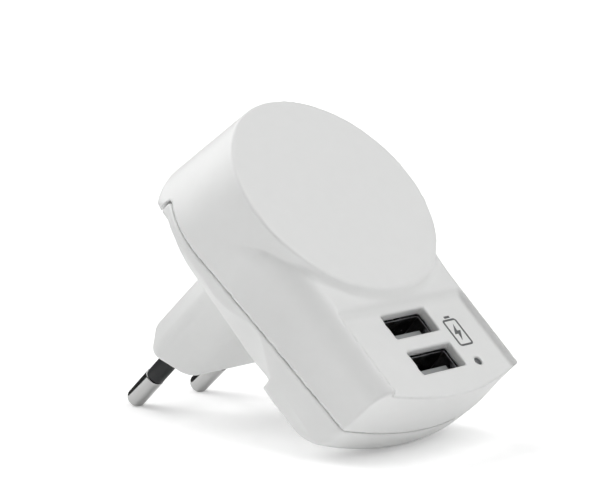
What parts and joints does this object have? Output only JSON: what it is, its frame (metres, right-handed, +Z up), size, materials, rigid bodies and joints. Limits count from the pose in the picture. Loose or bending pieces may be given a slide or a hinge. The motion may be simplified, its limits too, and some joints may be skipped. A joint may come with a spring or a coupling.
{
  "type": "usb wall charger",
  "caption": "Compact mains charger with a round front face, a sunken socket deck with stacked USB-A ports and an indicator light, and a fixed Europlug.",
  "frame": {"origin": "on the floor under the middle of the charger's footprint, with the charger lying as it does when put down: on both pin tips and the lower edge of its casing", "axes": "+Z up; +X across the width, to the right when facing the round face; the round face looks towards -Y and up, the pins point to +Y and down"},
  "size_m": [0.0462, 0.079, 0.0623],
  "materials": {
    "housing": "white moulded plastic, fine satin texture",
    "pin_metal": "nickel-plated brass, polished",
    "sleeve": "black insulating sleeve",
    "lead_brown": "brown wire insulation",
    "lead_blue": "blue wire insulation",
    "lead_red": "red wire insulation",
    "lead_black": "black wire insulation",
    "board": "green solder-mask laminate",
    "ferrite": "sintered ferrite",
    "tape": "yellow polyester tape over copper wire",
    "chip": "black moulding compound",
    "can": "dark sleeve on aluminium can",
    "copper": "enamelled copper wire",
    "resistor": "lacquered ceramic",
    "disc_blue": "blue epoxy-coated ceramic",
    "shell": "tin-plated steel",
    "insulator": "light high-temperature plastic",
    "contact": "gold-plated spring contacts",
    "lens": "dark translucent light pipe",
    "led": "clear epoxy with phosphor"
  },
  "bodies": {
    "root": {"front_housing": "housing", "rear_cover": "housing", "pin_left": "pin_metal", "pin_right": "pin_metal", "pin_sleeve_left": "sleeve", "pin_sleeve_right": "sleeve", "mains_lead_left": "lead_brown", "mains_lead_right": "lead_blue", "main_board": "board", "transformer_core": "ferrite", "transformer_winding": "tape", "transformer_foot": "chip", "bulk_capacitor_a": "can", "bulk_capacitor_b": "can", "output_capacitor_a": "can", "output_capacitor_b": "can", "line_inductor": "copper", "fuse_resistor": "resistor", "output_diode": "chip", "y_capacitor": "disc_blue", "optocoupler": "chip", "controller_chip": "chip", "bridge_rectifier": "chip", "usb_shell_upper": "shell", "usb_shell_lower": "shell", "usb_insulator_upper": "insulator", "usb_insulator_lower": "insulator", "socket_board": "board", "light_pipe": "lens", "led_chip": "led", "charge_control_chip": "chip", "jumper_wire_positive": "lead_red", "jumper_wire_negative": "lead_black"},
    "contact_upper_1": {"usb_contact_upper_1": "contact"},
    "contact_upper_2": {"usb_contact_upper_2": "contact"},
    "contact_upper_3": {"usb_contact_upper_3": "contact"},
    "contact_upper_4": {"usb_contact_upper_4": "contact"},
    "contact_lower_1": {"usb_contact_lower_1": "contact"},
    "contact_lower_2": {"usb_contact_lower_2": "contact"},
    "contact_lower_3": {"usb_contact_lower_3": "contact"},
    "contact_lower_4": {"usb_contact_lower_4": "contact"}
  },
  "joints": [
    {"name": "contact_upper_1_flex", "type": "hinge", "parent": "root", "child": "contact_upper_1", "pos_m": [-0.0035, -0.0194, 0.0147], "axis": [1, 0, 0], "range_deg": [0, 4.5], "stiffness_Nm_per_rad": 0.05},
    {"name": "contact_upper_2_flex", "type": "hinge", "parent": "root", "child": "contact_upper_2", "pos_m": [-0.001, -0.0194, 0.0147], "axis": [1, 0, 0], "range_deg": [0, 4.5], "stiffness_Nm_per_rad": 0.05},
    {"name": "contact_upper_3_flex", "type": "hinge", "parent": "root", "child": "contact_upper_3", "pos_m": [0.001, -0.0194, 0.0147], "axis": [1, 0, 0], "range_deg": [0, 4.5], "stiffness_Nm_per_rad": 0.05},
    {"name": "contact_upper_4_flex", "type": "hinge", "parent": "root", "child": "contact_upper_4", "pos_m": [0.0035, -0.0194, 0.0147], "axis": [1, 0, 0], "range_deg": [0, 4.5], "stiffness_Nm_per_rad": 0.05},
    {"name": "contact_lower_1_flex", "type": "hinge", "parent": "root", "child": "contact_lower_1", "pos_m": [-0.0035, -0.02578, 0.00894], "axis": [1, 0, 0], "range_deg": [0, 4.5], "stiffness_Nm_per_rad": 0.05},
    {"name": "contact_lower_2_flex", "type": "hinge", "parent": "root", "child": "contact_lower_2", "pos_m": [-0.001, -0.02578, 0.00894], "axis": [1, 0, 0], "range_deg": [0, 4.5], "stiffness_Nm_per_rad": 0.05},
    {"name": "contact_lower_3_flex", "type": "hinge", "parent": "root", "child": "contact_lower_3", "pos_m": [0.001, -0.02578, 0.00894], "axis": [1, 0, 0], "range_deg": [0, 4.5], "stiffness_Nm_per_rad": 0.05},
    {"name": "contact_lower_4_flex", "type": "hinge", "parent": "root", "child": "contact_lower_4", "pos_m": [0.0035, -0.02578, 0.00894], "axis": [1, 0, 0], "range_deg": [0, 4.5], "stiffness_Nm_per_rad": 0.05}
  ]
}
